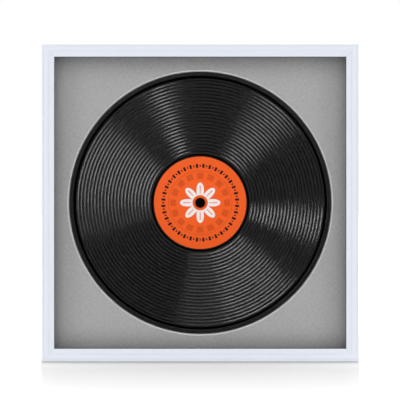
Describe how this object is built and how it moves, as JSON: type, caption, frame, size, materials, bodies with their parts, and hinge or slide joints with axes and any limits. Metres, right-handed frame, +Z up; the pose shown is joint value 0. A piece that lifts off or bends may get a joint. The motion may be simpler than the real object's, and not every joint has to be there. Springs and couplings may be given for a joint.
{
  "type": "vinyl record frame",
  "caption": "Square box frame with mitred stepped rails, clear glazing and a round-windowed mount that shows a disc record on a centre stud.",
  "frame": {"origin": "under the middle of the frame, on its base", "axes": "+Z up, -Y out of the front, +X to the right as seen from the front"},
  "size_m": [0.363, 0.0364, 0.363],
  "materials": {
    "white_paint": "cool white satin paint on a wooden moulding",
    "zinc_steel": "bright zinc plate",
    "clear_acrylic": "clear, with little reflection",
    "charcoal_card": "matt",
    "grey_mount": "grey linen face, white core at the cut",
    "white_board": "matt",
    "corrugated_card": "matt",
    "fibreboard": "smooth brown fibreboard",
    "black_vinyl": "glossy, grooved",
    "label_paper": "printed, half matt",
    "black_plastic": "matt",
    "bumper_rubber": "matt"
  },
  "bodies": {
    "frame": {"rail_bottom": "white_paint", "rail_left": "white_paint", "rail_top": "white_paint", "rail_right": "white_paint", "corner_nail_bottom_left": "zinc_steel", "corner_nail_top_left": "zinc_steel", "corner_nail_top_right": "zinc_steel", "corner_nail_bottom_right": "zinc_steel", "glazing": "clear_acrylic", "spacer_bottom": "charcoal_card", "spacer_left": "charcoal_card", "spacer_top": "charcoal_card", "spacer_right": "charcoal_card", "window_mount": "grey_mount", "support_board": "white_board", "packing_board": "corrugated_card", "back_board": "fibreboard", "centre_stud": "black_plastic", "stud_clip": "zinc_steel", "button_screw_bottom_1": "zinc_steel", "button_screw_bottom_2": "zinc_steel", "button_screw_left_1": "zinc_steel", "button_screw_left_2": "zinc_steel", "button_screw_top_1": "zinc_steel", "button_screw_top_2": "zinc_steel", "button_screw_right_1": "zinc_steel", "button_screw_right_2": "zinc_steel", "hanger_strap_left": "zinc_steel", "hanger_strap_right": "zinc_steel", "hanger_screw_left": "zinc_steel", "hanger_screw_right": "zinc_steel", "wall_bumper_left": "bumper_rubber", "wall_bumper_right": "bumper_rubber"},
    "record": {"record": "black_vinyl", "label_front": "label_paper", "label_back": "label_paper"},
    "turn_button_bottom_1": {"turn_button_bottom_1": "zinc_steel"},
    "turn_button_bottom_2": {"turn_button_bottom_2": "zinc_steel"},
    "turn_button_left_1": {"turn_button_left_1": "zinc_steel"},
    "turn_button_left_2": {"turn_button_left_2": "zinc_steel"},
    "turn_button_top_1": {"turn_button_top_1": "zinc_steel"},
    "turn_button_top_2": {"turn_button_top_2": "zinc_steel"},
    "turn_button_right_1": {"turn_button_right_1": "zinc_steel"},
    "turn_button_right_2": {"turn_button_right_2": "zinc_steel"},
    "hanger_ring_left": {"hanger_ring_left": "zinc_steel"},
    "hanger_ring_right": {"hanger_ring_right": "zinc_steel"}
  },
  "joints": [
    {"name": "record_spin", "type": "hinge", "parent": "frame", "child": "record", "pos_m": [0, 0.0011, 0.1815], "axis": [0, 1, 0], "continuous": true},
    {"name": "turn_button_bottom_1_pivot", "type": "hinge", "parent": "frame", "child": "turn_button_bottom_1", "pos_m": [-0.112, 0.01375, 0.0045], "axis": [0, 1, 0], "continuous": true},
    {"name": "turn_button_bottom_2_pivot", "type": "hinge", "parent": "frame", "child": "turn_button_bottom_2", "pos_m": [0.112, 0.01375, 0.0045], "axis": [0, 1, 0], "continuous": true},
    {"name": "turn_button_left_1_pivot", "type": "hinge", "parent": "frame", "child": "turn_button_left_1", "pos_m": [-0.177, 0.01375, 0.2935], "axis": [0, 1, 0], "continuous": true},
    {"name": "turn_button_left_2_pivot", "type": "hinge", "parent": "frame", "child": "turn_button_left_2", "pos_m": [-0.177, 0.01375, 0.0695], "axis": [0, 1, 0], "continuous": true},
    {"name": "turn_button_top_1_pivot", "type": "hinge", "parent": "frame", "child": "turn_button_top_1", "pos_m": [0.112, 0.01375, 0.3585], "axis": [0, 1, 0], "continuous": true},
    {"name": "turn_button_top_2_pivot", "type": "hinge", "parent": "frame", "child": "turn_button_top_2", "pos_m": [-0.112, 0.01375, 0.3585], "axis": [0, 1, 0], "continuous": true},
    {"name": "turn_button_right_1_pivot", "type": "hinge", "parent": "frame", "child": "turn_button_right_1", "pos_m": [0.177, 0.01375, 0.0695], "axis": [0, 1, 0], "continuous": true},
    {"name": "turn_button_right_2_pivot", "type": "hinge", "parent": "frame", "child": "turn_button_right_2", "pos_m": [0.177, 0.01375, 0.2935], "axis": [0, 1, 0], "continuous": true},
    {"name": "hanger_ring_left_pivot", "type": "hinge", "parent": "frame", "child": "hanger_ring_left", "pos_m": [-0.177, 0.0151, 0.243], "axis": [1, 0, 0], "range_deg": [0, 180]},
    {"name": "hanger_ring_right_pivot", "type": "hinge", "parent": "frame", "child": "hanger_ring_right", "pos_m": [0.177, 0.0151, 0.243], "axis": [1, 0, 0], "range_deg": [0, 180]}
  ]
}
